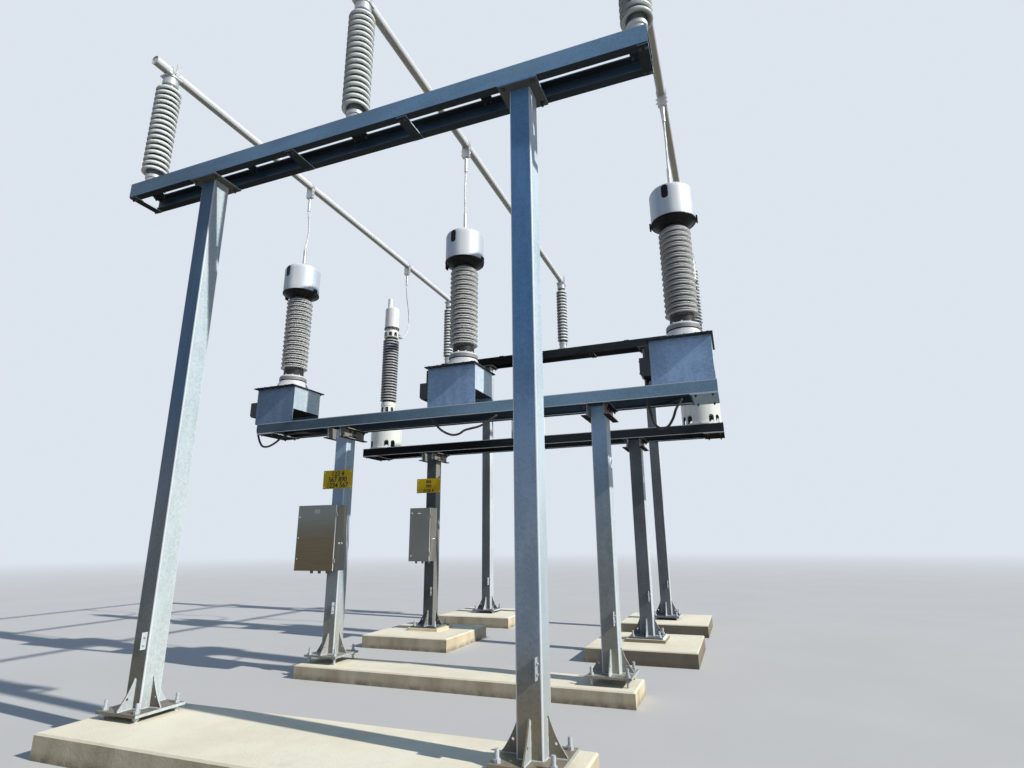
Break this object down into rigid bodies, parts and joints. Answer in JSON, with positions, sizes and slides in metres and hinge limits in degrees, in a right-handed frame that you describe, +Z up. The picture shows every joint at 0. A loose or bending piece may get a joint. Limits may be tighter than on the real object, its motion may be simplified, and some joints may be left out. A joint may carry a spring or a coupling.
{
  "type": "substation switchgear bay",
  "caption": "Outdoor high-voltage bay: tubular busbars on post insulators over steel portals that carry voltage and current transformers, with two door cabinets, on concrete footings.",
  "frame": {"origin": "On the underside of the front strip footing, midway between the two columns and on their line.", "axes": "+X to the right along the beams, +Y to the rear along the busbars, +Z up."},
  "size_m": [6.865, 9.505, 7.8398],
  "materials": {
    "bare_aluminium": "bare, weathered",
    "black_hose": "black flexible conduit",
    "brown_porcelain": "dark brown glaze",
    "cast_fitting": "cast, matt",
    "concrete": "cast concrete, matt",
    "cream_paint": "weathered satin paint",
    "dark_casting": "black paint over cast metal",
    "galvanised": "hot-dip galvanised, satin",
    "grey_paint": "satin paint",
    "grey_porcelain": "light grey glaze",
    "sign_paint": "ochre yellow paint, bare of text",
    "stainless": "brushed stainless"
  },
  "bodies": {
    "bay": {"front_footing": "concrete", "front_column_left": "galvanised", "front_column_right": "galvanised", "front_beam": "galvanised", "front_insulators": "grey_porcelain", "front_fittings": "cast_fitting", "front_clamps": "bare_aluminium", "vt_footing": "concrete", "vt_column_left": "galvanised", "vt_column_right": "galvanised", "vt_beam": "galvanised", "vt_tanks": "galvanised", "vt_turrets": "cast_fitting", "vt_porcelain": "grey_porcelain", "vt_collars": "dark_casting", "vt_heads": "bare_aluminium", "vt_terminal_boxes": "galvanised", "vt_conduits": "black_hose", "cross_brackets": "galvanised", "marshalling_box": "stainless", "ct_pads": "concrete", "ct_column_left": "galvanised", "ct_column_right": "galvanised", "ct_grout": "concrete", "ct_beam": "galvanised", "ct_tanks": "cream_paint", "ct_porcelain": "brown_porcelain", "ct_heads": "cream_paint", "kiosk_box": "grey_paint", "sign_plates": "sign_paint", "rear_pads": "concrete", "rear_column_left": "galvanised", "rear_column_right": "galvanised", "rear_beam": "galvanised", "rear_insulators": "grey_porcelain", "rear_fittings": "cast_fitting", "rear_clamps": "bare_aluminium", "dropper_clamps": "bare_aluminium", "dropper_leads": "bare_aluminium", "bus_left": "bare_aluminium", "bus_middle": "bare_aluminium", "bus_right": "bare_aluminium", "anchor_bolts": "galvanised"},
    "marshalling_door": {"marshalling_door": "stainless"},
    "kiosk_door": {"kiosk_door": "grey_paint"}
  },
  "joints": [
    {"name": "marshalling_door_hinge", "type": "hinge", "parent": "bay", "child": "marshalling_door", "pos_m": [-1.693, 2.361, 1.7675], "axis": [0, 0, 1], "range_deg": [0, 110]},
    {"name": "kiosk_door_hinge", "type": "hinge", "parent": "bay", "child": "kiosk_door", "pos_m": [-1.745, 5.081, 1.8225], "axis": [0, 0, 1], "range_deg": [0, 110]}
  ]
}
